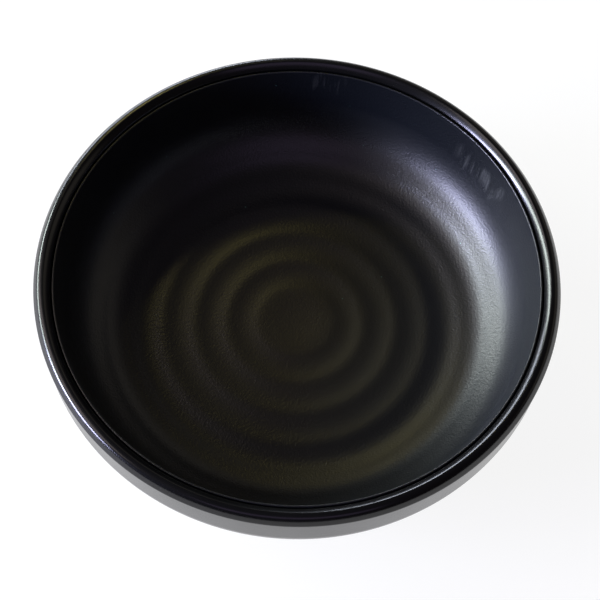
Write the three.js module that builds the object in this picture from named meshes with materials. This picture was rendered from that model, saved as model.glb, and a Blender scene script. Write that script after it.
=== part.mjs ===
// A small round sauce dish: a satin lining with a rippled floor, set into a glossy shell with a foot ring.
// Millimetres, +Z up. The origin is the centre of the foot ring's underside, on the table.
import * as THREE from 'three';

// Shell sizes
const OUTER_DIAMETER = 95.2; // across the edge below the lip's bevel, the widest part
const HEIGHT = 27; // from the table to the top of the lip
const LIP_WIDTH = 3; // from the outer edge in to the lip's inner face
const LIP_EDGE = 1.1; // size of the eased inner edge of the lip, in and down
const LIP_EDGE_POWER = 1.2; // its form: 2 is a quarter round, 1 is a flat chamfer
const BEVEL_WIDTH = 0.95; // of the bevel round the outside of the lip, seen from above
const BEVEL_DROP = 1.45; // how far the bevel's lower edge lies below the top of the lip
const BEVEL_ROUNDING = 0.5; // share of the bevel that belongs to the rounding above it
const SIDE_HEIGHT = 6.5; // of the upright part of the outer wall, below the bevel
const SIDE_DRAFT = 0.2; // how far the upright part draws in on its way down
const SHELL_WALL = 2; // thickness under the lining
const FOOT_DIAMETER = 58; // outside of the foot ring
const FOOT_WIDTH = 2.8; // of the ring's flat underside
const FOOT_HEIGHT = 1.8; // from the table to the recessed underside

// Lining sizes
const LINING_THICKNESS = 1.4; // at the crests of the ripples
const LINING_EDGE = 0.4; // width of its top edge
const SEAM_DROP = 0.1; // its top edge lies this far below the eased edge of the lip
const BOND_GAP = 0.3; // clearance between the lining and the shell, all over
const WALL_FLARE = 9.5; // lean of the straight inside wall from upright, in degrees
const COVE_RADIUS = 15; // of the rippled curve up from the floor
const COVE_ANGLE = 54; // slope of that curve where its ripples end, in degrees
const CORNER_RADIUS = 11; // of the plain curve from there up to the wall

// Ripples: rings that follow the floor and the cove outwards
const FIRST_CREST = 6.85; // radius of the innermost ring
const RIPPLE_PITCH = 6.25; // from crest to crest, along the surface
const RIPPLE_DEPTH = 0.22; // from crest to trough
const CREST_SHARPNESS = 0.07; // 0 is a plain sine wave

// Fineness of the meshes
const SIDES = 64; // round the dish
const STEPS_PER_RIPPLE = 4;
const COVE_STEPS = 6;
const CORNER_STEPS = 5;
const LIP_EDGE_STEPS = 5;
const LIP_TOP_STEPS = 4;
const WALL_STEPS = 6;

const outerRadius = OUTER_DIAMETER / 2;
const coveAngle = THREE.MathUtils.degToRad(COVE_ANGLE);
const wallAngle = THREE.MathUtils.degToRad(90 - WALL_FLARE);

// Heights, from the table up through the layers
const seatHeight = FOOT_HEIGHT + SHELL_WALL;
const liningUnderside = seatHeight + BOND_GAP;
const floorHeight = liningUnderside + LINING_THICKNESS;
const coveCentreHeight = floorHeight + COVE_RADIUS;
const liningTop = HEIGHT - LIP_EDGE - SEAM_DROP;

// Radii, from the outer edge in to the flat floor
const lipInnerRadius = outerRadius - LIP_WIDTH;
const liningEdgeRadius = lipInnerRadius - BOND_GAP;
const wallTopRadius = liningEdgeRadius - LINING_EDGE;
const groovedCove = COVE_RADIUS + RIPPLE_DEPTH;
const cornerFootHeight = coveCentreHeight - groovedCove * Math.cos(coveAngle);
const wallFootHeight = cornerFootHeight + CORNER_RADIUS * (Math.cos(coveAngle) - Math.cos(wallAngle));
const wallFootRadius = wallTopRadius - (liningTop - wallFootHeight) / Math.tan(wallAngle);
const cornerFootRadius = wallFootRadius - CORNER_RADIUS * (Math.sin(wallAngle) - Math.sin(coveAngle));
const floorRadius = cornerFootRadius - groovedCove * Math.sin(coveAngle);

// The point at a distance from a centre, where a curve about that centre has the given slope.
function aroundCentre(centre, radius, angle) {
  return new THREE.Vector2(centre.x + radius * Math.sin(angle), centre.y - radius * Math.cos(angle));
}

// The cove's centre lies over the edge of the flat floor. The corner's centre is in line with it and the cove's end,
// so that one curve runs into the other. The curves of every layer are drawn about these two centres.
const coveCentre = new THREE.Vector2(floorRadius, coveCentreHeight);
const cornerCentre = aroundCentre(coveCentre, groovedCove - CORNER_RADIUS, coveAngle);

// A curve that leaves its start and reaches its end along the lines to the corner.
function roundedCorner(start, corner, end, steps) {
  return new THREE.QuadraticBezierCurve(start, corner, end).getPoints(steps);
}

function arc(centre, radius, fromAngle, toAngle, steps) {
  const points = [];
  for (let i = 0; i <= steps; i += 1) {
    points.push(aroundCentre(centre, radius, THREE.MathUtils.lerp(fromAngle, toAngle, i / steps)));
  }
  return points;
}

// The cove and the corner of a hidden layer, from the floor's edge up to the wall. Its depth counts from the crests.
function layerCurve(depth) {
  const cornerRadius = CORNER_RADIUS - RIPPLE_DEPTH + depth;
  return [
    ...arc(coveCentre, COVE_RADIUS + depth, 0, coveAngle, COVE_STEPS),
    ...arc(cornerCentre, cornerRadius, coveAngle, wallAngle, CORNER_STEPS),
  ];
}

// Ripples are measured along the floor and cove: crests at even steps, troughs at the centre and at the cove's end.
const coveEndAlong = floorRadius + COVE_RADIUS * coveAngle;
const rippleSteps = Math.max(0, Math.floor((coveEndAlong - FIRST_CREST) / RIPPLE_PITCH));
const lastCrest = FIRST_CREST + rippleSteps * RIPPLE_PITCH;

function rippleTurn(along) {
  if (along < FIRST_CREST) {
    return Math.PI * (1 - along / FIRST_CREST);
  }
  if (along > lastCrest) {
    return Math.PI * (along - lastCrest) / (coveEndAlong - lastCrest);
  }
  return 2 * Math.PI * (along - FIRST_CREST) / RIPPLE_PITCH;
}

// How far the surface lies below the crests.
function rippleSink(along) {
  const turn = rippleTurn(along);
  const wave = Math.cos(turn) - CREST_SHARPNESS * (1 - Math.cos(2 * turn));
  return RIPPLE_DEPTH * (1 - wave) / 2;
}

function onRipples(along) {
  const sink = rippleSink(along);
  if (along <= floorRadius) {
    return new THREE.Vector2(along, floorHeight - sink);
  }
  return aroundCentre(coveCentre, COVE_RADIUS + sink, (along - floorRadius) / COVE_RADIUS);
}

function liningProfile() {
  const points = [];
  for (let i = 0; i < STEPS_PER_RIPPLE; i += 1) {
    points.push(onRipples(FIRST_CREST * i / STEPS_PER_RIPPLE));
  }
  for (let i = 0; i < rippleSteps * STEPS_PER_RIPPLE; i += 1) {
    points.push(onRipples(FIRST_CREST + RIPPLE_PITCH * i / STEPS_PER_RIPPLE));
  }
  for (let i = 0; i < STEPS_PER_RIPPLE; i += 1) {
    points.push(onRipples(THREE.MathUtils.lerp(lastCrest, coveEndAlong, i / STEPS_PER_RIPPLE)));
  }
  points.push(...arc(cornerCentre, CORNER_RADIUS, coveAngle, wallAngle, CORNER_STEPS));
  points.push(new THREE.Vector2(wallTopRadius, liningTop));
  points.push(new THREE.Vector2(liningEdgeRadius, liningTop));
  points.push(...layerCurve(LINING_THICKNESS).reverse());
  points.push(new THREE.Vector2(0, liningUnderside));
  return points;
}

const outerEdge = new THREE.Vector2(outerRadius, HEIGHT - BEVEL_DROP);

// The lip: up its inner face, over its eased inner edge, along the top and down the bevel to the outer edge.
function lipPoints() {
  const points = [new THREE.Vector2(lipInnerRadius, liningTop)];
  for (let i = 0; i <= LIP_EDGE_STEPS; i += 1) {
    const turn = Math.PI / 2 * i / LIP_EDGE_STEPS;
    const fromTop = Math.max(0, Math.cos(turn)) ** (2 / LIP_EDGE_POWER);
    const fromFace = Math.sin(turn) ** (2 / LIP_EDGE_POWER);
    points.push(new THREE.Vector2(
      lipInnerRadius + LIP_EDGE * (1 - fromTop),
      HEIGHT - LIP_EDGE * (1 - fromFace),
    ));
  }
  const bevelTop = new THREE.Vector2(outerRadius - BEVEL_WIDTH, HEIGHT);
  const onBevel = bevelTop.clone().lerp(outerEdge, BEVEL_ROUNDING);
  points.push(...roundedCorner(points.at(-1), bevelTop, onBevel, LIP_TOP_STEPS));
  points.push(outerEdge);
  return points;
}

// The outer wall: down the upright side, in to the cove's underside, and along that to the foot ring.
function outsidePoints() {
  const undersideRadius = coveCentreHeight - FOOT_HEIGHT;
  const footRadius = FOOT_DIAMETER / 2;
  const coveEnd = aroundCentre(coveCentre, undersideRadius, coveAngle);
  const sideFoot = new THREE.Vector2(outerRadius - SIDE_DRAFT, outerEdge.y - SIDE_HEIGHT);
  const meetingHeight = coveEnd.y + (sideFoot.x - coveEnd.x) * Math.tan(coveAngle);
  const meeting = new THREE.Vector2(sideFoot.x, Math.min(meetingHeight, sideFoot.y));
  const footTurn = Math.asin(Math.max(0, footRadius - floorRadius) / undersideRadius);
  return [
    ...roundedCorner(sideFoot, meeting, coveEnd, WALL_STEPS),
    ...arc(coveCentre, undersideRadius, coveAngle, footTurn, COVE_STEPS),
    new THREE.Vector2(footRadius, aroundCentre(coveCentre, undersideRadius, footTurn).y),
    new THREE.Vector2(footRadius, 0),
    new THREE.Vector2(footRadius - FOOT_WIDTH, 0),
    new THREE.Vector2(footRadius - FOOT_WIDTH, FOOT_HEIGHT),
    new THREE.Vector2(0, FOOT_HEIGHT),
  ];
}

function shellProfile() {
  return [
    new THREE.Vector2(0, seatHeight),
    ...layerCurve(LINING_THICKNESS + BOND_GAP),
    ...lipPoints(),
    ...outsidePoints(),
  ];
}

// Points that fall on top of each other are left out, so that no side of the profile has no length.
function withoutRepeats(points) {
  return points.filter((point, i) => i === 0 || point.distanceTo(points[i - 1]) > 1e-4);
}

// Turns a profile, listed from the axis out over the top and back to the axis, into a solid standing on Z.
function turned(name, profile, material) {
  const fromBelow = withoutRepeats(profile).reverse();
  const geometry = new THREE.LatheGeometry(fromBelow, SIDES);
  geometry.rotateX(Math.PI / 2);
  const mesh = new THREE.Mesh(geometry, material);
  mesh.name = name;
  return mesh;
}

const glossBlack = new THREE.MeshStandardMaterial({ color: 0x12120f, roughness: 0.2, metalness: 0 });
const satinBlack = new THREE.MeshStandardMaterial({ color: 0x1c1b16, roughness: 0.5, metalness: 0 });

const dish = new THREE.Group();
dish.add(turned('outer_shell', shellProfile(), glossBlack));
dish.add(turned('inner_lining', liningProfile(), satinBlack));

export default dish;
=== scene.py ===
# %% [markdown]
# # A black sauce dish, dressed in Blender
# The dish is round and small enough to sit in a palm. It is moulded in two layers: a glossy black shell,
# which is the lip, the outside and the foot ring, and a satin black lining pressed into it, which is the
# whole inside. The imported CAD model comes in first, as a fixed frame in metres. Each piece made below takes
# the place of one of its two solids, so nothing has to be fitted by eye.

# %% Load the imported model
import math

import bmesh
import bpy
from mathutils import Matrix, Vector


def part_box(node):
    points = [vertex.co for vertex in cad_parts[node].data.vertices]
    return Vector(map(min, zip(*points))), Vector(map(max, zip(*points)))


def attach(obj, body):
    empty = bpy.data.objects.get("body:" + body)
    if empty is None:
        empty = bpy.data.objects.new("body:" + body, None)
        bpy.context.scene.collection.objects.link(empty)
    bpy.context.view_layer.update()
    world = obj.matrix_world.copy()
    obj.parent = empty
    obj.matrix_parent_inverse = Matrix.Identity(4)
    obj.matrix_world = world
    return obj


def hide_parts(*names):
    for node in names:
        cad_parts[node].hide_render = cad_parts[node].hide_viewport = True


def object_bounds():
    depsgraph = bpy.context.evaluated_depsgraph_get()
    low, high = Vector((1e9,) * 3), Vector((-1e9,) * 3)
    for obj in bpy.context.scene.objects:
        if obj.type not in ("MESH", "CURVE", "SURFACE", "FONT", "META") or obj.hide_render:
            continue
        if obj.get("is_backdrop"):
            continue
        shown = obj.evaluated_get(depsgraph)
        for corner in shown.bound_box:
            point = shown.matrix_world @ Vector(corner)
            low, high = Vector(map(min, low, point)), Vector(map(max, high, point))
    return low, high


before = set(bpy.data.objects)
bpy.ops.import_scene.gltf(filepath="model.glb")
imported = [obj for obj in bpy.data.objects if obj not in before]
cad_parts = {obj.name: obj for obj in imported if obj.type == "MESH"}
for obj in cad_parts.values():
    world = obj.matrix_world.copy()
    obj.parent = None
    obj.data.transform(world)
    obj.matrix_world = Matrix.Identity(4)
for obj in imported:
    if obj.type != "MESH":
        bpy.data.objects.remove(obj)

cad_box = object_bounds()
print("CAD box, lowest and highest corner:", [[round(v, 4) for v in corner] for corner in cad_box])

# %% [markdown]
# ## The camera
# The view looks down steeply from the front, close enough that the near side of the rim looks larger than
# the far side. An elevation, a distance and a lens could be guessed and nudged until the picture looks
# right. Here they were worked out instead from circles: the rim, the foot of the inside wall and the rings
# in the floor all show as ellipses, and one camera has to explain all of them at once.

# %% Make the camera
ELEVATION = math.radians(63.4)
ROLL = math.radians(2.5)
DISTANCE = 0.2624
AIM = Vector((0.0006, 0.0, 0.0145))
FRAME_WIDTHS_OF_LENS = 2.326  # focal length over the width of the square frame

back = Vector((0.0, -math.cos(ELEVATION), math.sin(ELEVATION)))
level_right = Vector((1.0, 0.0, 0.0))
level_up = back.cross(level_right)
right = level_right * math.cos(ROLL) + level_up * math.sin(ROLL)
up = level_up * math.cos(ROLL) - level_right * math.sin(ROLL)
facing = Matrix((right, up, back)).transposed().to_4x4()

lens = bpy.data.cameras.new("camera")
lens.sensor_fit = "HORIZONTAL"
lens.sensor_width = 36.0
lens.lens = lens.sensor_width * FRAME_WIDTHS_OF_LENS
lens.clip_start = 0.01
camera = bpy.data.objects.new("camera", lens)
camera.matrix_world = Matrix.Translation(AIM + back * DISTANCE) @ facing
bpy.context.scene.collection.objects.link(camera)
bpy.context.scene.camera = camera
bpy.context.scene.view_settings.view_transform = "Standard"
print("camera: lens", round(lens.lens, 1), "mm, at", [round(v, 3) for v in camera.matrix_world.translation])

# %% [markdown]
# ## Sizes that both mouldings share
# Both mouldings are round, so each is fully described by its profile: half of its cross-section, drawn as
# radius and height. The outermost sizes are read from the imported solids, and the rest repeat the CAD
# model's own values, in millimetres. From these follow the points where the floor, the cove, the corner
# above it and the straight wall run into each other.

# %% Sizes, in millimetres
MM = 0.001
shell_low, shell_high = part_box("outer_shell")
lining_low, lining_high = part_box("inner_lining")
OUTER_RADIUS, HEIGHT = shell_high[0] / MM, shell_high[2] / MM
LINING_RADIUS, LINING_TOP, LINING_UNDERSIDE = lining_high[0] / MM, lining_high[2] / MM, lining_low[2] / MM

LINING_THICKNESS, LINING_EDGE, BOND_GAP = 1.4, 0.4, 0.3
WALL_ANGLE = math.radians(90.0 - 9.5)
COVE_RADIUS, COVE_ANGLE, CORNER_RADIUS = 15.0, math.radians(54.0), 11.0
FIRST_CREST, RIPPLE_PITCH, RIPPLE_DEPTH, CREST_SHARPNESS = 6.85, 6.25, 0.22, 0.07

FLOOR_HEIGHT = LINING_UNDERSIDE + LINING_THICKNESS
COVE_CENTRE_HEIGHT = FLOOR_HEIGHT + COVE_RADIUS
WALL_TOP_RADIUS = LINING_RADIUS - LINING_EDGE
GROOVED_COVE = COVE_RADIUS + RIPPLE_DEPTH
CORNER_FOOT_HEIGHT = COVE_CENTRE_HEIGHT - GROOVED_COVE * math.cos(COVE_ANGLE)
WALL_FOOT_HEIGHT = CORNER_FOOT_HEIGHT + CORNER_RADIUS * (math.cos(COVE_ANGLE) - math.cos(WALL_ANGLE))
WALL_FOOT_RADIUS = WALL_TOP_RADIUS - (LINING_TOP - WALL_FOOT_HEIGHT) / math.tan(WALL_ANGLE)
CORNER_FOOT_RADIUS = WALL_FOOT_RADIUS - CORNER_RADIUS * (math.sin(WALL_ANGLE) - math.sin(COVE_ANGLE))
FLOOR_RADIUS = CORNER_FOOT_RADIUS - GROOVED_COVE * math.sin(COVE_ANGLE)
COVE_END_ALONG = FLOOR_RADIUS + COVE_RADIUS * COVE_ANGLE
LAST_CREST = FIRST_CREST + RIPPLE_PITCH * math.floor((COVE_END_ALONG - FIRST_CREST) / RIPPLE_PITCH)
print("flat floor radius", round(FLOOR_RADIUS, 2), "mm, inside depth", round(HEIGHT - FLOOR_HEIGHT, 2), "mm")

# %% [markdown]
# ## Helpers for nodes
# Geometry Nodes and materials are both node trees. They could be clicked together in the editor, but in a
# script every value can be read and changed. The same three helpers build both kinds: one sets or links a
# socket, one adds a node with its settings and inputs, and one adds a Math node.

# %% Node helpers
def plug(tree, socket, value):
    if isinstance(value, bpy.types.NodeSocket):
        tree.links.new(value, socket)
    else:
        socket.default_value = value


def add_node(tree, kind, inputs=None, **settings):
    node = tree.nodes.new(kind)
    for name, value in settings.items():
        setattr(node, name, value)
    for name, value in (inputs or {}).items():
        plug(tree, node.inputs[name], value)
    return node


def maths(tree, operation, *values):
    return add_node(tree, "ShaderNodeMath", dict(enumerate(values)), operation=operation).outputs[0]


print("node helpers ready")

# %% [markdown]
# ## The ripple rule
# The rings in the floor are one wave, rolled out from the centre: a trough in the middle, crests at even
# steps along the floor and up the cove, and a last groove at the cove's end. They could be modelled as rings
# of edges by hand, but a wave is a formula, so Geometry Nodes can push each point of the profile into the
# material by it. Two attributes on the points tell the tree where each point lies along the surface and
# which way is in.

# %% Geometry Nodes: the ripple tree and its inputs
def new_tree(name, inputs):
    """A Geometry Nodes tree with named inputs; returns it, its input node and the inputs' identifiers."""
    tree = bpy.data.node_groups.new(name, "GeometryNodeTree")
    tree.interface.new_socket("Geometry", in_out="INPUT", socket_type="NodeSocketGeometry")
    tree.interface.new_socket("Geometry", in_out="OUTPUT", socket_type="NodeSocketGeometry")
    identifiers = {}
    for label, kind in inputs.items():
        identifiers[label] = tree.interface.new_socket(label, in_out="INPUT", socket_type=kind).identifier
    return tree, tree.nodes.new("NodeGroupInput"), identifiers


def named(tree, name, data_type):
    return add_node(tree, "GeometryNodeInputNamedAttribute", {"Name": name}, data_type=data_type).outputs[0]


FLOAT = "NodeSocketFloat"
ripple_tree, given, ripple_inputs = new_tree("ripple_rings", {
    "First crest": FLOAT, "Crest spacing": FLOAT, "Last crest": FLOAT,
    "Cove end": FLOAT, "Depth": FLOAT, "Crest sharpness": FLOAT,
})
first_crest, last_crest = given.outputs["First crest"], given.outputs["Last crest"]
along = named(ripple_tree, "along", "FLOAT")
way_in = named(ripple_tree, "way_in", "FLOAT_VECTOR")
print("ripple tree takes", ", ".join(ripple_inputs))

# %% [markdown]
# ### Where a point lies on the wave
# A wave is easiest to shape as a turn, with a full circle from crest to crest. Between the rings the turn
# grows evenly. Inside the first ring and beyond the last one there is only half a wave, and its length is
# different, so a Switch node picks the rule by the point's distance along the surface.

# %% Geometry Nodes: the turn of the wave
def tree_maths(operation, *values):
    return maths(ripple_tree, operation, *values)


def choose(test, if_true, if_false):
    inputs = {"Switch": test, "True": if_true, "False": if_false}
    return add_node(ripple_tree, "GeometryNodeSwitch", inputs, input_type="FLOAT").outputs[0]


inner_share = tree_maths("DIVIDE", along, first_crest)
inner_turn = tree_maths("MULTIPLY", tree_maths("SUBTRACT", 1.0, inner_share), math.pi)
past_first = tree_maths("SUBTRACT", along, first_crest)
ring_turn = tree_maths("MULTIPLY", tree_maths("DIVIDE", past_first, given.outputs["Crest spacing"]), math.tau)
past_last = tree_maths("SUBTRACT", along, last_crest)
last_length = tree_maths("SUBTRACT", given.outputs["Cove end"], last_crest)
last_turn = tree_maths("MULTIPLY", tree_maths("DIVIDE", past_last, last_length), math.pi)

is_inner = tree_maths("LESS_THAN", along, first_crest)
is_last = tree_maths("GREATER_THAN", along, last_crest)
turn = choose(is_inner, inner_turn, choose(is_last, last_turn, ring_turn))
print("turn of the wave:", len(ripple_tree.nodes), "nodes")

# %% [markdown]
# ### Sinking the points
# The cosine of the turn is 1 on a crest and -1 in a trough. A second cosine at twice the speed narrows the
# crests a little, as on the real rings. Each point is then moved in by its share of the depth, and how
# close it is to a crest is stored as an attribute, because the finish needs it later.

# %% Geometry Nodes: sink the points and mark the crests
def stored(tree, geometry, name, value):
    inputs = {"Geometry": geometry, "Name": name, "Value": value}
    kind = "GeometryNodeStoreNamedAttribute"
    return add_node(tree, kind, inputs, data_type="FLOAT", domain="POINT").outputs["Geometry"]


def end_tree(tree, geometry):
    result = tree.nodes.new("NodeGroupOutput")
    plug(tree, result.inputs["Geometry"], geometry)


double = tree_maths("COSINE", tree_maths("MULTIPLY", turn, 2.0))
narrowing = tree_maths("MULTIPLY", given.outputs["Crest sharpness"], tree_maths("SUBTRACT", 1.0, double))
wave = tree_maths("SUBTRACT", tree_maths("COSINE", turn), narrowing)
lowness = tree_maths("MULTIPLY", tree_maths("SUBTRACT", 1.0, wave), 0.5)
sink = tree_maths("MULTIPLY", lowness, given.outputs["Depth"])
offset = add_node(ripple_tree, "ShaderNodeVectorMath", {0: way_in, "Scale": sink}, operation="SCALE")
sunk = add_node(ripple_tree, "GeometryNodeSetPosition", {
    "Geometry": given.outputs["Geometry"], "Offset": offset.outputs[0]})
crest = tree_maths("SUBTRACT", 1.0, lowness)
end_tree(ripple_tree, stored(ripple_tree, sunk.outputs["Geometry"], "crest", crest))
print("ripple tree:", len(ripple_tree.nodes), "nodes")

# %% [markdown]
# ## Turning a profile into a solid
# A round moulding can be made with the Screw modifier or with Spin. A Geometry Nodes tree does the same and
# stays easy to read: a flat grid has one row for each point of the profile and one column for each side of
# the dish. First every grid point works out its row and its angle round the axis from where it lies.

# %% Geometry Nodes: a grid with a row for each profile point
turn_tree, given, turn_inputs = new_tree("turned_on_axis", {
    "Profile points": "NodeSocketInt", "Sides": "NodeSocketInt", "Finish": "NodeSocketMaterial",
})
GRID_HALF = 0.5  # the grid is 1 m square and centred, so its coordinates run from minus to plus this
columns = maths(turn_tree, "ADD", given.outputs["Sides"], 1.0)
grid = add_node(turn_tree, "GeometryNodeMeshGrid", {
    "Size X": 1.0, "Size Y": 1.0, "Vertices X": given.outputs["Profile points"], "Vertices Y": columns})
position = turn_tree.nodes.new("GeometryNodeInputPosition").outputs[0]
on_grid = add_node(turn_tree, "ShaderNodeSeparateXYZ", {0: position})
row_share = maths(turn_tree, "ADD", on_grid.outputs["X"], GRID_HALF)
last_row = maths(turn_tree, "SUBTRACT", given.outputs["Profile points"], 1.0)
row = maths(turn_tree, "ROUND", maths(turn_tree, "MULTIPLY", row_share, last_row))
turn_share = maths(turn_tree, "ADD", on_grid.outputs["Y"], GRID_HALF)
angle = maths(turn_tree, "MULTIPLY", turn_share, math.tau)
print("grid part of the turning tree:", len(turn_tree.nodes), "nodes")

# %% [markdown]
# ### Wrapping the grid round the axis
# Every grid point looks up its row's radius and height on the profile and is moved round the axis by its
# angle. The crest attribute is looked up in the same way. Points that then lie on top of each other, at the
# seam and on the axis, are merged, which closes the solid.

# %% Geometry Nodes: wrap the grid
MERGE_DISTANCE = 1e-6


def from_row(value, data_type):
    inputs = {"Geometry": given.outputs["Geometry"], "Value": value, "Index": row}
    kind = "GeometryNodeSampleIndex"
    return add_node(turn_tree, kind, inputs, data_type=data_type, domain="POINT").outputs[0]


on_profile = add_node(turn_tree, "ShaderNodeSeparateXYZ", {0: from_row(position, "FLOAT_VECTOR")})
turned_place = add_node(turn_tree, "ShaderNodeCombineXYZ", {
    "X": maths(turn_tree, "MULTIPLY", on_profile.outputs["X"], maths(turn_tree, "COSINE", angle)),
    "Y": maths(turn_tree, "MULTIPLY", on_profile.outputs["X"], maths(turn_tree, "SINE", angle)),
    "Z": on_profile.outputs["Z"]})
crest_of_row = from_row(named(turn_tree, "crest", "FLOAT"), "FLOAT")
marked = stored(turn_tree, grid.outputs["Mesh"], "crest", crest_of_row)
wrapped = add_node(turn_tree, "GeometryNodeSetPosition", {
    "Geometry": marked, "Position": turned_place.outputs[0]})
closed = add_node(turn_tree, "GeometryNodeMergeByDistance", {
    "Geometry": wrapped.outputs["Geometry"], "Distance": MERGE_DISTANCE})
smooth = add_node(turn_tree, "GeometryNodeSetShadeSmooth", {"Geometry": closed.outputs["Geometry"]})
real = add_node(turn_tree, "GeometryNodeRealizeInstances", {"Geometry": smooth.outputs["Geometry"]})
finished = add_node(turn_tree, "GeometryNodeSetMaterial", {
    "Geometry": real.outputs["Geometry"], "Material": given.outputs["Finish"]})
end_tree(turn_tree, finished.outputs["Geometry"])
print("turning tree:", len(turn_tree.nodes), "nodes")

# %% [markdown]
# ## From profile to piece
# A helper makes an object out of a profile's points, gives it the trees as modifiers, keeps the evaluated
# result as a plain mesh and takes the modifiers off. The normals are recalculated at the end, because a
# wrapped grid may come out inside out, and the volume printed shows that the solid is closed and faces
# outwards.

# %% Profile helpers
SIDES = 256


def profile_object(name, points):
    """An object whose mesh is a line through (radius, height) points, given in millimetres."""
    mesh = bpy.data.meshes.new(name)
    places = [(radius * MM, 0.0, height * MM) for radius, height in points]
    mesh.from_pydata(places, [(i, i + 1) for i in range(len(places) - 1)], [])
    piece = bpy.data.objects.new(name, mesh)
    bpy.context.scene.collection.objects.link(piece)
    return piece


def add_tree(piece, tree, identifiers, values):
    modifier = piece.modifiers.new(tree.name, "NODES")
    modifier.node_group = tree
    for label, value in values.items():
        modifier[identifiers[label]] = value


def turn_solid(piece, finish):
    """Turns the profile into a plain, closed mesh on the piece."""
    values = {"Profile points": len(piece.data.vertices), "Sides": SIDES, "Finish": finish}
    add_tree(piece, turn_tree, turn_inputs, values)
    mesh = bpy.data.meshes.new_from_object(piece.evaluated_get(bpy.context.evaluated_depsgraph_get()))
    piece.modifiers.clear()
    piece.data = mesh
    solid = bmesh.new()
    solid.from_mesh(mesh)
    bmesh.ops.recalc_face_normals(solid, faces=solid.faces)
    volume = solid.calc_volume(signed=True)
    open_edges = sum(not edge.is_manifold for edge in solid.edges)
    solid.to_mesh(mesh)
    solid.free()
    print(piece.name, len(mesh.polygons), "faces,", round(volume * 1e6, 2), "cm3,", open_edges, "open edges")


print("profiles turn into", SIDES, "sides")

# %% [markdown]
# ## Satin black, for the lining
# The inside has the low sheen of a mould that was sand-blasted: black, with a fine pebbled grain that
# glitters only where a light is reflected. A picture of such a grain could be wrapped round the dish, but it
# would stretch towards the middle. Noise and small cells in space need no wrapping, and a Bump node turns
# them into slopes that bend the light.

# %% Satin finish: the grain
PEBBLES_PER_METRE, GRIT_PER_METRE, GRAIN_DEPTH = 3000.0, 2300.0, 0.00007


def new_material(name):
    material = bpy.data.materials.new(name)
    material.use_nodes = True
    return material, material.node_tree, material.node_tree.nodes["Principled BSDF"]


def noise(tree, place, scale, detail=2.0):
    inputs = {"Vector": place, "Scale": scale, "Detail": detail}
    return add_node(tree, "ShaderNodeTexNoise", inputs).outputs["Fac"]


def cells(tree, place, scale):
    return add_node(tree, "ShaderNodeTexVoronoi", {"Vector": place, "Scale": scale}).outputs["Distance"]


def bumped(tree, shader, height, strength, distance):
    bump = add_node(tree, "ShaderNodeBump", {"Height": height, "Strength": strength, "Distance": distance})
    plug(tree, shader.inputs["Normal"], bump.outputs["Normal"])


def round_place(tree):
    """The place on the dish, its coordinates and its angle round the axis."""
    place = add_node(tree, "ShaderNodeTexCoord").outputs["Object"]
    xyz = add_node(tree, "ShaderNodeSeparateXYZ", {0: place}).outputs
    return place, xyz, maths(tree, "ARCTAN2", xyz["Y"], xyz["X"])


satin, tree, shader = new_material("satin_black_melamine")
place, xyz, turn_angle = round_place(tree)
pebbles = maths(tree, "MULTIPLY", cells(tree, place, PEBBLES_PER_METRE), 0.25)
grit = maths(tree, "MULTIPLY", noise(tree, place, GRIT_PER_METRE, 3.0), 0.75)
bumped(tree, shader, maths(tree, "ADD", pebbles, grit), 1.0, GRAIN_DEPTH)
print("satin grain: pebbles", round(1000.0 / PEBBLES_PER_METRE, 2), "mm apart")

# %% [markdown]
# ### Wear on the satin
# Short upright wipe marks stand high on the wall in two places, and a few pale specks lie about. The marks
# could be painted by hand on a texture. Here a stretched noise makes the strokes, a slower noise shifts each
# one up or down, and two soft windows in angle and height say where they show.

# %% Satin finish: wipe marks and specks
STROKES_PER_RADIAN, STROKE_CHANGES_PER_METRE = 48.0, 60.0
SHIFTS_PER_RADIAN, SHIFT_LIMIT = 17.0, 0.0016
RIGHT_PATCH = (0.64, 0.2, 0.02, 0.0026)  # angle and its reach, in radians; height and its reach, in metres
BACK_PATCH = (1.47, 0.09, 0.0235, 0.0022)
SPECK_CELLS_PER_METRE = 180.0


def ranged(tree, value, low, high, to_low, to_high):
    inputs = {"Value": value, "From Min": low, "From Max": high, "To Min": to_low, "To Max": to_high}
    return add_node(tree, "ShaderNodeMapRange", inputs).outputs["Result"]


def near(tree, value, centre, reach):
    """1 about the centre, falling to 0 at the reach on either side."""
    away = maths(tree, "ABSOLUTE", maths(tree, "SUBTRACT", value, centre))
    return ranged(tree, away, 0.35 * reach, reach, 1.0, 0.0)


def patch(angle, angle_reach, height, height_reach):
    by_angle = near(tree, turn_angle, angle, angle_reach)
    return maths(tree, "MULTIPLY", by_angle, near(tree, stroke_height, height, height_reach))


stroke_place = add_node(tree, "ShaderNodeCombineXYZ", {
    "X": maths(tree, "MULTIPLY", turn_angle, STROKES_PER_RADIAN),
    "Y": maths(tree, "MULTIPLY", xyz["Z"], STROKE_CHANGES_PER_METRE)}).outputs[0]
strokes = ranged(tree, noise(tree, stroke_place, 1.0, 1.0), 0.44, 0.70, 0.0, 1.0)
shift_place = add_node(tree, "ShaderNodeCombineXYZ", {
    "X": maths(tree, "MULTIPLY", turn_angle, SHIFTS_PER_RADIAN), "Y": 3.0}).outputs[0]
shift = ranged(tree, noise(tree, shift_place, 1.0, 1.0), 0.3, 0.7, -SHIFT_LIMIT, SHIFT_LIMIT)
stroke_height = maths(tree, "SUBTRACT", xyz["Z"], shift)
patches = maths(tree, "MAXIMUM", patch(*RIGHT_PATCH), patch(*BACK_PATCH))
marks = maths(tree, "MULTIPLY", strokes, patches)
specks = ranged(tree, cells(tree, place, SPECK_CELLS_PER_METRE), 0.018, 0.026, 1.0, 0.0)
print("wipe marks at", [round(math.degrees(p[0])) for p in (RIGHT_PATCH, BACK_PATCH)], "degrees")

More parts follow.
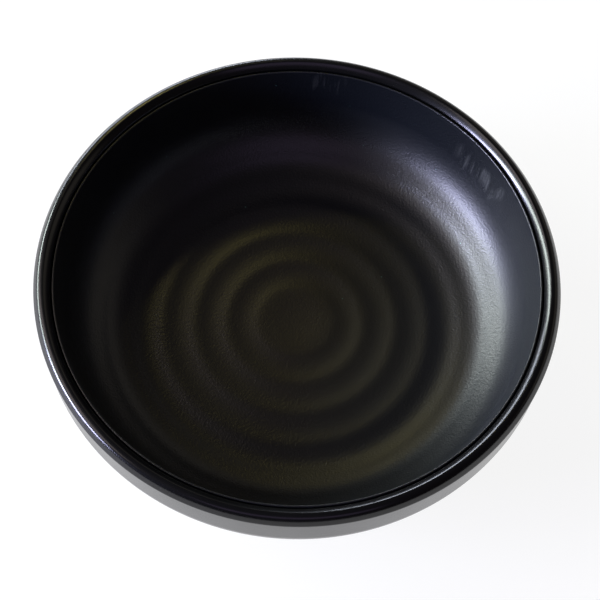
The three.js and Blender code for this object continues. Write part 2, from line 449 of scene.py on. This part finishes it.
# %% [markdown]
# ### Colour and sheen of the satin
# Black is never quite even: a slow noise runs between two blacks and two roughnesses. Washing and wiping
# polish the crests of the rings a little, which the crest attribute left by the ripple tree marks. The
# straight wall is smoother too, because it slides along the mould when the dish is pushed out. The middle
# of the floor is painted a touch lighter and olive, fading outwards: a painted sheen. It is also duller
# there, where spoons and sponges rub most. The wipe marks and specks are blended over the black.

# %% Satin finish: colour and roughness
CREST_POLISH, WALL_POLISH, RUBBED_ROUGHNESS, MARK_STRENGTH = 0.04, 0.08, 0.05, 0.6
WALL_FOOT = (0.0165, 0.0185)  # heights between which the wall grows smoother, in metres
# The painted sheen on the floor's middle fades over the same distances as the duller rubbing.
SHEEN_AND_RUB_REACH = (0.0055, 0.027)  # distances from the origin over which the rubbing fades, in metres
# Painted sheen: an olive colour that lifts the floor's middle, standing in for a lamp's reflection.
PAINTED_SHEEN_COLOUR = (0.0175, 0.0172, 0.0108, 1.0)


def blended(tree, share, first, second):
    return add_node(tree, "ShaderNodeMix", {0: share, 6: first, 7: second}, data_type="RGBA").outputs[2]


mottle = noise(tree, place, 45.0)
black = blended(tree, mottle, (0.0016, 0.0028, 0.0052, 1.0), (0.0024, 0.0038, 0.0066, 1.0))
from_origin = add_node(tree, "ShaderNodeVectorMath", {0: place}, operation="LENGTH").outputs["Value"]
# Painted sheen: the floor's middle is painted lighter and olive, fading outwards; the same mask makes it
# duller.
sheen_and_rub = ranged(tree, from_origin, *SHEEN_AND_RUB_REACH, 1.0, 0.0)
painted_sheen_black = blended(tree, sheen_and_rub, black, PAINTED_SHEEN_COLOUR)
mark_share = maths(tree, "MULTIPLY", marks, MARK_STRENGTH)
marked_black = blended(tree, mark_share, painted_sheen_black, (0.075, 0.078, 0.080, 1.0))
plug(tree, shader.inputs["Base Color"], blended(tree, specks, marked_black, (0.10, 0.21, 0.19, 1.0)))

crest_mark = add_node(tree, "ShaderNodeAttribute", attribute_name="crest").outputs["Fac"]
crest_polish = maths(tree, "MULTIPLY", crest_mark, CREST_POLISH)
wall_polish = ranged(tree, xyz["Z"], *WALL_FOOT, 0.0, WALL_POLISH)
polish = maths(tree, "ADD", crest_polish, wall_polish)
unpolished = ranged(tree, mottle, 0.3, 0.7, 0.41, 0.45)
roughened = maths(tree, "ADD", unpolished, maths(tree, "MULTIPLY", sheen_and_rub, RUBBED_ROUGHNESS))
plug(tree, shader.inputs["Roughness"], maths(tree, "SUBTRACT", roughened, polish))
shader.inputs["IOR"].default_value = 1.68
print("satin finish:", len(tree.nodes), "nodes")

# %% [markdown]
# ## Gloss black, for the shell
# The lip and the outside come from a polished mould, so they mirror the room with only a little blur. A
# perfect mirror would look computer-made, so the gloss has small faults: a faint unevenness bends the
# reflections, fine hair scratches run round the lip where it is wiped, and the underside of the foot ring
# is scuffed grey and matt where it slides on the table.

# %% Gloss finish
HAIRS_PER_METRE, HAIRS_PER_RADIAN = 6000.0, 4.0
SCUFF_FULL, SCUFF_END = 0.0001, 0.0005  # heights above the table, in metres

gloss, tree, shader = new_material("gloss_black_melamine")
place, xyz, turn_angle = round_place(tree)
flat_place = add_node(tree, "ShaderNodeCombineXYZ", {"X": xyz["X"], "Y": xyz["Y"]}).outputs[0]
radius = add_node(tree, "ShaderNodeVectorMath", {0: flat_place}, operation="LENGTH").outputs["Value"]
bumped(tree, shader, noise(tree, place, 320.0), 0.1, 0.00001)

hair_place = add_node(tree, "ShaderNodeCombineXYZ", {
    "X": maths(tree, "MULTIPLY", turn_angle, HAIRS_PER_RADIAN),
    "Y": maths(tree, "MULTIPLY", radius, HAIRS_PER_METRE),
    "Z": maths(tree, "MULTIPLY", xyz["Z"], HAIRS_PER_METRE)}).outputs[0]
hairs = ranged(tree, noise(tree, hair_place, 1.0), 0.62, 0.72, 0.0, 1.0)
scuff = ranged(tree, xyz["Z"], SCUFF_FULL, SCUFF_END, 1.0, 0.0)
handled = ranged(tree, noise(tree, place, 70.0), 0.35, 0.65, 0.19, 0.24)
wiped = maths(tree, "ADD", handled, maths(tree, "MULTIPLY", hairs, 0.05))
plug(tree, shader.inputs["Roughness"], maths(tree, "MAXIMUM", wiped, maths(tree, "MULTIPLY", scuff, 0.6)))

mottle = noise(tree, place, 60.0)
black = blended(tree, mottle, (0.0022, 0.0023, 0.0026, 1.0), (0.0036, 0.0037, 0.0040, 1.0))
plug(tree, shader.inputs["Base Color"], blended(tree, scuff, black, (0.035, 0.034, 0.032, 1.0)))
shader.inputs["IOR"].default_value = 1.5
print("gloss finish:", len(tree.nodes), "nodes")

# %% [markdown]
# ## Curves about two centres
# On the real dish the lining and the shell lie snugly in each other, so their curves have the same centres
# and differ only in radius. A helper draws an arc by its slope, from level to upright, and another draws
# the cove and corner of any hidden layer at a given depth.

# %% Curve helpers
COVE_STEPS, CORNER_STEPS = 16, 10


def around(centre, radius, slope):
    return centre[0] + radius * math.sin(slope), centre[1] - radius * math.cos(slope)


def arc(centre, radius, from_slope, to_slope, steps):
    slopes = [from_slope + (to_slope - from_slope) * i / steps for i in range(steps + 1)]
    return [around(centre, radius, slope) for slope in slopes]


COVE_CENTRE = (FLOOR_RADIUS, COVE_CENTRE_HEIGHT)
CORNER_CENTRE = around(COVE_CENTRE, GROOVED_COVE - CORNER_RADIUS, COVE_ANGLE)


def layer_curve(depth):
    """The cove and corner of a hidden layer, from the floor's edge up to the wall."""
    corner_radius = CORNER_RADIUS - RIPPLE_DEPTH + depth
    cove = arc(COVE_CENTRE, COVE_RADIUS + depth, 0.0, COVE_ANGLE, COVE_STEPS)
    return cove + arc(CORNER_CENTRE, corner_radius, COVE_ANGLE, WALL_ANGLE, CORNER_STEPS)[1:]


print("curve centres:", [[round(v, 2) for v in centre] for centre in (COVE_CENTRE, CORNER_CENTRE)])

# %% [markdown]
# ## The lining
# The lining is a thin bowl: a flat floor that sweeps up in a wide cove, turns a little faster where the
# ripples end, and runs on as a straight, slightly flared wall. Its top edge is narrow and shows as the fine
# line just inside the lip. The profile could be drawn with its ripples at once, but it is easier to draw it
# plain and let the ripple tree sink the wave into the floor and cove.

# %% Lining profile
RIPPLE_STEP, EDGE_ROUND = 0.4, 0.18


def rounded_corner(centre, radius, from_turn, to_turn, steps=4):
    """Points of a round about a centre, with turns counted from the outward radius upwards, in degrees."""
    turns = [math.radians(from_turn + (to_turn - from_turn) * i / steps) for i in range(steps + 1)]
    return [(centre[0] + radius * math.cos(t), centre[1] + radius * math.sin(t)) for t in turns]


def on_floor_or_cove(along, slope):
    return (along, FLOOR_HEIGHT) if slope == 0.0 else around(COVE_CENTRE, COVE_RADIUS, slope)


ripple_count = math.ceil(COVE_END_ALONG / RIPPLE_STEP)
alongs = [COVE_END_ALONG * i / ripple_count for i in range(ripple_count)]
slopes = [max(0.0, (a - FLOOR_RADIUS) / COVE_RADIUS) for a in alongs]
rippled = [on_floor_or_cove(a, slope) for a, slope in zip(alongs, slopes)]

plain = arc(CORNER_CENTRE, CORNER_RADIUS, COVE_ANGLE, WALL_ANGLE, 16)
edge_height = LINING_TOP - EDGE_ROUND
rises = [(edge_height - WALL_FOOT_HEIGHT) * share for share in (0.1, 0.3, 0.5, 0.7, 0.9)]
plain += [(WALL_FOOT_RADIUS + rise / math.tan(WALL_ANGLE), WALL_FOOT_HEIGHT + rise) for rise in rises]
plain += rounded_corner((WALL_TOP_RADIUS + EDGE_ROUND, edge_height), EDGE_ROUND, 180, 90)
plain += rounded_corner((LINING_RADIUS - EDGE_ROUND, edge_height), EDGE_ROUND, 90, 0)
plain += layer_curve(LINING_THICKNESS)[::-1]
plain += [(0.0, LINING_UNDERSIDE)]
print("lining profile:", len(rippled), "rippled points and", len(plain), "plain ones")

# %% [markdown]
# ### Making the lining
# Each point of the profile carries two marks for the ripple tree: how far along the surface it lies, and
# which way is in. Plain points get no way in, so they stay where they are. The ripple tree goes on first and
# the turning tree after it, in the order in which modifiers are worked out.

# %% Make the lining
lining = profile_object("lining", rippled + plain)
ways_in = [(math.sin(slope), 0.0, -math.cos(slope)) for slope in slopes]
ways_in += [(0.0, 0.0, 0.0)] * len(plain)
along_mark = lining.data.attributes.new("along", "FLOAT", "POINT")
along_mark.data.foreach_set("value", [a * MM for a in alongs] + [COVE_END_ALONG * MM] * len(plain))
way_mark = lining.data.attributes.new("way_in", "FLOAT_VECTOR", "POINT")
way_mark.data.foreach_set("vector", [v for way in ways_in for v in way])
add_tree(lining, ripple_tree, ripple_inputs, {
    "First crest": FIRST_CREST * MM, "Crest spacing": RIPPLE_PITCH * MM, "Last crest": LAST_CREST * MM,
    "Cove end": COVE_END_ALONG * MM, "Depth": RIPPLE_DEPTH * MM, "Crest sharpness": CREST_SHARPNESS})
turn_solid(lining, satin)

# %% [markdown]
# ## The lip of the shell
# The shell is the thick outer moulding. The inner edge of its lip is eased like a chamfer with soft ends, so
# that a broad bright band lies on it where it faces a window. Outside, the lip falls away in a narrow bevel
# to a fine edge, where the two halves of the mould met and the seam was ground off. A Bevel modifier could
# round all these edges alike, but each has its own form, so each is drawn into the profile.

# %% Shell profile: seat and lip
LIP_WIDTH, LIP_EDGE, LIP_EDGE_POWER = 3.0, 1.1, 1.2
BEVEL_WIDTH, BEVEL_DROP, BEVEL_ROUNDING = 0.95, 1.45, 0.5
SIDE_HEIGHT, SIDE_DRAFT = 6.5, 0.2
FINE_EDGE = 0.15
LIP_INNER = OUTER_RADIUS - LIP_WIDTH


def part_way(start, end, share):
    return tuple(s + (e - s) * share for s, e in zip(start, end))


def bend(start, middle, end, t):
    return tuple((1 - t) ** 2 * s + 2 * t * (1 - t) * m + t ** 2 * e for s, m, e in zip(start, middle, end))


def curve_through(start, middle, end, steps):
    """Points of a quadratic curve from start to end, pulled towards the middle point."""
    return [bend(start, middle, end, i / steps) for i in range(steps + 1)]


def eased_edge(start, size, power, steps):
    """An edge from an upright face to a level one: a power of 2 makes a quarter round, 1 a flat chamfer."""
    points = []
    for i in range(steps + 1):
        turn = math.pi / 2 * i / steps
        inwards = size * (1 - max(0.0, math.cos(turn)) ** (2 / power))
        upwards = size * math.sin(turn) ** (2 / power)
        points.append((start[0] + inwards, start[1] + upwards))
    return points


outer_edge = (OUTER_RADIUS, HEIGHT - BEVEL_DROP)
bevel_top = (OUTER_RADIUS - BEVEL_WIDTH, HEIGHT)
side_foot = (OUTER_RADIUS - SIDE_DRAFT, outer_edge[1] - SIDE_HEIGHT)
above_edge = part_way(outer_edge, bevel_top, FINE_EDGE / math.dist(outer_edge, bevel_top))
below_edge = part_way(outer_edge, side_foot, FINE_EDGE / SIDE_HEIGHT)

seat = [(0.0, LINING_UNDERSIDE - BOND_GAP)] + layer_curve(LINING_THICKNESS + BOND_GAP)
lip = [(LIP_INNER, LINING_TOP)]
lip += eased_edge((LIP_INNER, HEIGHT - LIP_EDGE), LIP_EDGE, LIP_EDGE_POWER, 18)
lip += curve_through(lip[-1], bevel_top, part_way(bevel_top, outer_edge, BEVEL_ROUNDING), 12)[1:]
lip += [part_way(lip[-1], above_edge, share) for share in (0.4, 0.8)]
lip += curve_through(above_edge, outer_edge, below_edge, 4)
print("seat and lip:", len(seat), "and", len(lip), "points")

# %% [markdown]
# ## The outside and the foot ring
# Below the fine edge the side stands upright, then turns in along the same curve as the cove to a foot ring,
# which keeps the hot or wet underside off the table. The foot ring could be a separate ring joined on, but
# it is moulded in one with the base, so it is simply the last part of the profile, with rounded corners.

# %% Shell profile: outside and foot
FOOT_RADIUS, FOOT_WIDTH, FOOT_HEIGHT, FOOT_ROUND = 29.0, 2.8, 1.8, 0.5

side = [part_way(below_edge, side_foot, share) for share in (0.03, 0.1, 0.25, 0.5, 0.75, 0.9)]
underside_radius = COVE_CENTRE_HEIGHT - FOOT_HEIGHT
cove_end = around(COVE_CENTRE, underside_radius, COVE_ANGLE)
meeting = (side_foot[0], cove_end[1] + (side_foot[0] - cove_end[0]) * math.tan(COVE_ANGLE))
outer_wall = curve_through(side_foot, meeting, cove_end, 28)[:-1]
foot_slope = math.asin((FOOT_RADIUS + FOOT_ROUND - FLOOR_RADIUS) / underside_radius)
outer_wall += arc(COVE_CENTRE, underside_radius, COVE_ANGLE, foot_slope, 20)

foot_inner = FOOT_RADIUS - FOOT_WIDTH
foot_top = outer_wall[-1][1]
foot = rounded_corner((FOOT_RADIUS + FOOT_ROUND, foot_top - FOOT_ROUND), FOOT_ROUND, 90, 180)[1:]
foot += rounded_corner((FOOT_RADIUS - FOOT_ROUND, FOOT_ROUND), FOOT_ROUND, 0, -90)
foot += rounded_corner((foot_inner + FOOT_ROUND, FOOT_ROUND), FOOT_ROUND, -90, -180)
foot += rounded_corner((foot_inner - FOOT_ROUND, FOOT_HEIGHT - FOOT_ROUND), FOOT_ROUND, 0, 90)
underside = [(foot_inner * 0.6, FOOT_HEIGHT), (0.0, FOOT_HEIGHT)]
print("outside and foot:", len(side) + len(outer_wall), "and", len(foot), "points")

# %% [markdown]
# ### Making the shell
# The parts of the profile follow each other from the axis, up the hidden seat, over the lip, down the
# outside and back to the axis below. The shell has no ripples, so the turning tree alone makes it solid.

# %% Make the shell
shell = profile_object("shell", seat + lip + side + outer_wall + foot + underside)
turn_solid(shell, gloss)

# %% [markdown]
# ## The table
# A plain pale surface carries the dish and its soft shadow, and the glossy outside mirrors it. It could be
# made white with more light, but that would brighten the dish too. So its own light is only added for rays
# that come from the camera or from a reflection.

# %% Floor
TABLE_HALF, TABLE_DROP, TABLE_GLOW = 6.0, 0.0001, 0.89
table_mesh = bpy.data.meshes.new("table")
corner_signs = [(-1, -1), (1, -1), (1, 1), (-1, 1)]
corners = [(x * TABLE_HALF, y * TABLE_HALF, -TABLE_DROP) for x, y in corner_signs]
table_mesh.from_pydata(corners, [], [(0, 1, 2, 3)])
table = bpy.data.objects.new("table", table_mesh)
bpy.context.scene.collection.objects.link(table)
pale, tree, shader = new_material("pale_table")
shader.inputs["Base Color"].default_value = (0.13, 0.13, 0.13, 1.0)
shader.inputs["Roughness"].default_value = 0.7
rays = add_node(tree, "ShaderNodeLightPath")
seen = maths(tree, "MAXIMUM", rays.outputs["Is Camera Ray"], rays.outputs["Is Glossy Ray"])
seen = maths(tree, "MAXIMUM", seen, rays.outputs["Is Transmission Ray"])
shader.inputs["Emission Color"].default_value = (1.0, 1.0, 1.0, 1.0)
plug(tree, shader.inputs["Emission Strength"], maths(tree, "MULTIPLY", seen, TABLE_GLOW))
table_mesh.materials.append(pale)
table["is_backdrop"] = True
print("table:", 2 * TABLE_HALF, "m square")

# %% [markdown]
# ## The lamps
# A window on the left does most of the work: its reflection is the bright crescent in the right of the cove
# and the white band on the lip. A longer pane beside it draws the crescent out to the near right, and a
# low, far window draws the fine line on the near right of the lip. A small warm lamp behind the dish gives
# the floor its olive sheen. It is flat, so that the far rim's shadow cuts the sheen off in a crisp
# curve. The ceiling and the rest of the room are large dim panels. Lamps could be turned up and down
# until the picture looks right. But light adds up, so each lamp can also be rendered alone, and the
# strengths worked out at which the pictures together give the tones that are wanted.

# %% Lamps
LAMP_DISTANCE = 1.2


def panel(name, azimuth, elevation, wide, tall, radiance):
    """A soft rectangular light facing the dish, placed and sized by the angles at which the dish sees it."""
    turn, lift = math.radians(azimuth), math.radians(elevation)
    towards = Vector((math.cos(turn) * math.cos(lift), math.sin(turn) * math.cos(lift), math.sin(lift)))
    light = bpy.data.lights.new(name, "AREA")
    light.shape = "RECTANGLE"
    light.size = 2.0 * LAMP_DISTANCE * math.tan(math.radians(wide) / 2.0) * math.cos(lift)
    light.size_y = 2.0 * LAMP_DISTANCE * math.tan(math.radians(tall) / 2.0)
    brightest = max(radiance)
    light.energy = brightest * math.pi * light.size * light.size_y
    light.color = [channel / brightest for channel in radiance]
    lamp = bpy.data.objects.new(name, light)
    lamp.visible_camera = False
    lamp.location = towards * LAMP_DISTANCE
    lamp.rotation_mode = "QUATERNION"
    lamp.rotation_quaternion = towards.to_track_quat("Z", "Y")
    bpy.context.scene.collection.objects.link(lamp)
    print(name, "at", [round(v, 2) for v in lamp.location], "m,", round(light.energy, 2), "W")


panel("window", 193, 15, 29, 8, (53.5, 54.5, 84.0))
panel("long_window", 167, 20.5, 56, 9, (23.5, 26.0, 25.0))
panel("far_window", 117, 8, 44, 7, (13.0, 14.0, 16.0))
panel("lamp", 111, 42.5, 10, 4, (16.4, 14.2, 4.6))
panel("ceiling", 175, 46, 60, 20, (2.1, 1.8, 1.75))
panel("room_front", 270, 50, 60, 18, (0.39, 0.30, 0.52))
panel("room_back", 40, 26, 90, 22, (0.28, 0.26, 0.22))

# %% [markdown]
# ## The world
# Whatever is not a lamp or the table is the rest of the room, dim and a little rosy. A picture of a room
# could be wrapped round the scene, but in a black dish it would only show as a faint veil, so one even
# colour is enough.

# %% World light
WORLD_LIGHT, WORLD_COLOUR = 0.044, (1.0, 0.86, 0.98, 1.0)
world = bpy.data.worlds.new("room")
world.use_nodes = True
backdrop = world.node_tree.nodes["Background"]
backdrop.inputs["Color"].default_value = WORLD_COLOUR
backdrop.inputs["Strength"].default_value = WORLD_LIGHT
bpy.context.scene.world = world
print("world light:", WORLD_LIGHT)

# %% [markdown]
# ## Tie the pieces to the model
# Each piece is put on the body it moves with, and the solid it stands for is hidden. The
# dish has no joints, so both ride on its only body. The boxes of the solids and of the pieces are written
# out to be compared.

# %% Finish
for piece, node, slot in ((shell, "outer_shell", "shell"), (lining, "inner_lining", "lining")):
    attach(piece, "root")
    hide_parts(node)
visual_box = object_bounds()
boxes = {"cad": [list(corner) for corner in cad_box], "visual": [list(corner) for corner in visual_box]}
for name, (lowest, highest) in boxes.items():
    print(name, "box in mm:", [round((high - low) / MM, 2) for low, high in zip(lowest, highest)])
